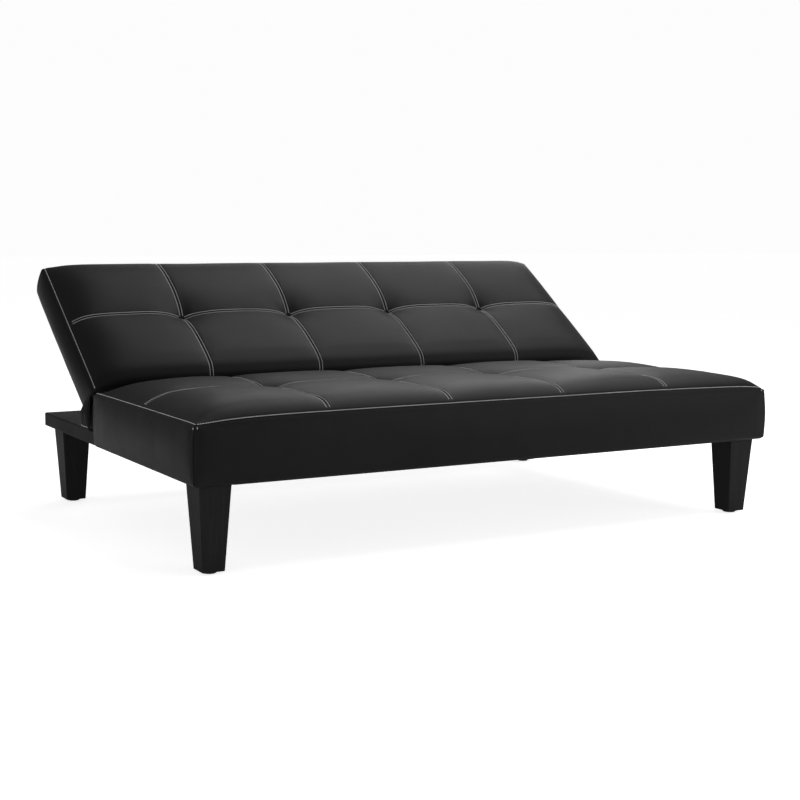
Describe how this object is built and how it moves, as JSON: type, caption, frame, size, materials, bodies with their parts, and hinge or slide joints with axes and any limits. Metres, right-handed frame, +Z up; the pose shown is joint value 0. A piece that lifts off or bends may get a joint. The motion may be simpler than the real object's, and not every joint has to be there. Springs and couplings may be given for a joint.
{
  "type": "futon sofa bed",
  "caption": "Armless click-clack futon sofa bed in black faux leather, with a tufted seat and a hinged tufted back that lies flat to make a bed.",
  "frame": {"origin": "on the floor, under the middle of the whole object with the back in its lounge position", "axes": "+X along the bed's length, +Y from the seat's front towards the back, +Z up"},
  "size_m": [1.68, 1.1816, 0.6725],
  "materials": {
    "leatherette": "black faux leather with a fine grain and a soft satin sheen",
    "cushion_foam": "cream polyurethane foam",
    "pine": "sawn softwood",
    "plywood": "thin plywood",
    "underside_cloth": "black non-woven cloth",
    "frame_cloth": "black cloth stretched over wood",
    "boot_fabric": "black faux leather, soft",
    "black_lacquered_wood": "black satin lacquer",
    "black_plastic": "moulded plastic",
    "zinc_steel": "zinc plated",
    "black_steel": "black coated pressed steel"
  },
  "bodies": {
    "seat_base": {"seat_front_rail": "pine", "seat_rear_rail": "pine", "seat_centre_rail": "pine", "seat_left_rail": "pine", "seat_right_rail": "pine", "seat_deck": "plywood", "seat_foam": "cushion_foam", "seat_cover": "leatherette", "seat_dust_cover": "underside_cloth", "corner_block_left": "pine", "corner_block_right": "pine", "rear_arm_left": "frame_cloth", "rear_arm_right": "frame_cloth", "rear_cross_beam": "frame_cloth", "arm_bolt_left": "zinc_steel", "arm_bolt_right": "zinc_steel", "leg_front_left": "black_lacquered_wood", "leg_bolt_front_left": "zinc_steel", "glide_front_left": "black_plastic", "leg_front_right": "black_lacquered_wood", "leg_bolt_front_right": "zinc_steel", "glide_front_right": "black_plastic", "leg_rear_left": "black_lacquered_wood", "leg_bolt_rear_left": "zinc_steel", "glide_rear_left": "black_plastic", "leg_rear_right": "black_lacquered_wood", "leg_bolt_rear_right": "zinc_steel", "glide_rear_right": "black_plastic", "hinge_seat_bracket_left": "black_steel", "bracket_screw_left_1": "zinc_steel", "bracket_screw_left_2": "zinc_steel", "hinge_pin_left": "zinc_steel", "pawl_pin_left": "zinc_steel", "pawl_spring_left": "zinc_steel", "hinge_boot_left": "boot_fabric", "hinge_seat_bracket_right": "black_steel", "bracket_screw_right_1": "zinc_steel", "bracket_screw_right_2": "zinc_steel", "hinge_pin_right": "zinc_steel", "pawl_pin_right": "zinc_steel", "pawl_spring_right": "zinc_steel", "hinge_boot_right": "boot_fabric"},
    "backrest": {"back_top_rail": "pine", "back_bottom_rail": "pine", "back_centre_rail": "pine", "back_left_rail": "pine", "back_right_rail": "pine", "back_panel": "plywood", "back_foam": "cushion_foam", "back_cover": "leatherette", "back_rear_cloth": "underside_cloth", "hinge_back_plate_left": "black_steel", "plate_screw_left": "zinc_steel", "hinge_back_plate_right": "black_steel", "plate_screw_right": "zinc_steel"},
    "pawl_left": {"pawl_left": "black_steel"},
    "pawl_right": {"pawl_right": "black_steel"}
  },
  "joints": [
    {"name": "backrest_recline", "type": "hinge", "parent": "seat_base", "child": "backrest", "pos_m": [0, 0.0992, 0.337], "axis": [1, 0, 0], "range_deg": [-35.3, 54.7], "deforming": ["hinge_boot_left", "hinge_boot_right"]},
    {"name": "pawl_left_pivot", "type": "hinge", "parent": "seat_base", "child": "pawl_left", "pos_m": [-0.8055, 0.0972, 0.306], "axis": [1, 0, 0], "range_deg": [-18, 0], "stiffness_Nm_per_rad": 0.05, "springref_deg": 5.73, "deforming": ["pawl_spring_left"]},
    {"name": "pawl_right_pivot", "type": "hinge", "parent": "seat_base", "child": "pawl_right", "pos_m": [0.8055, 0.0972, 0.306], "axis": [1, 0, 0], "range_deg": [-18, 0], "stiffness_Nm_per_rad": 0.05, "springref_deg": 5.73, "deforming": ["pawl_spring_right"]}
  ]
}
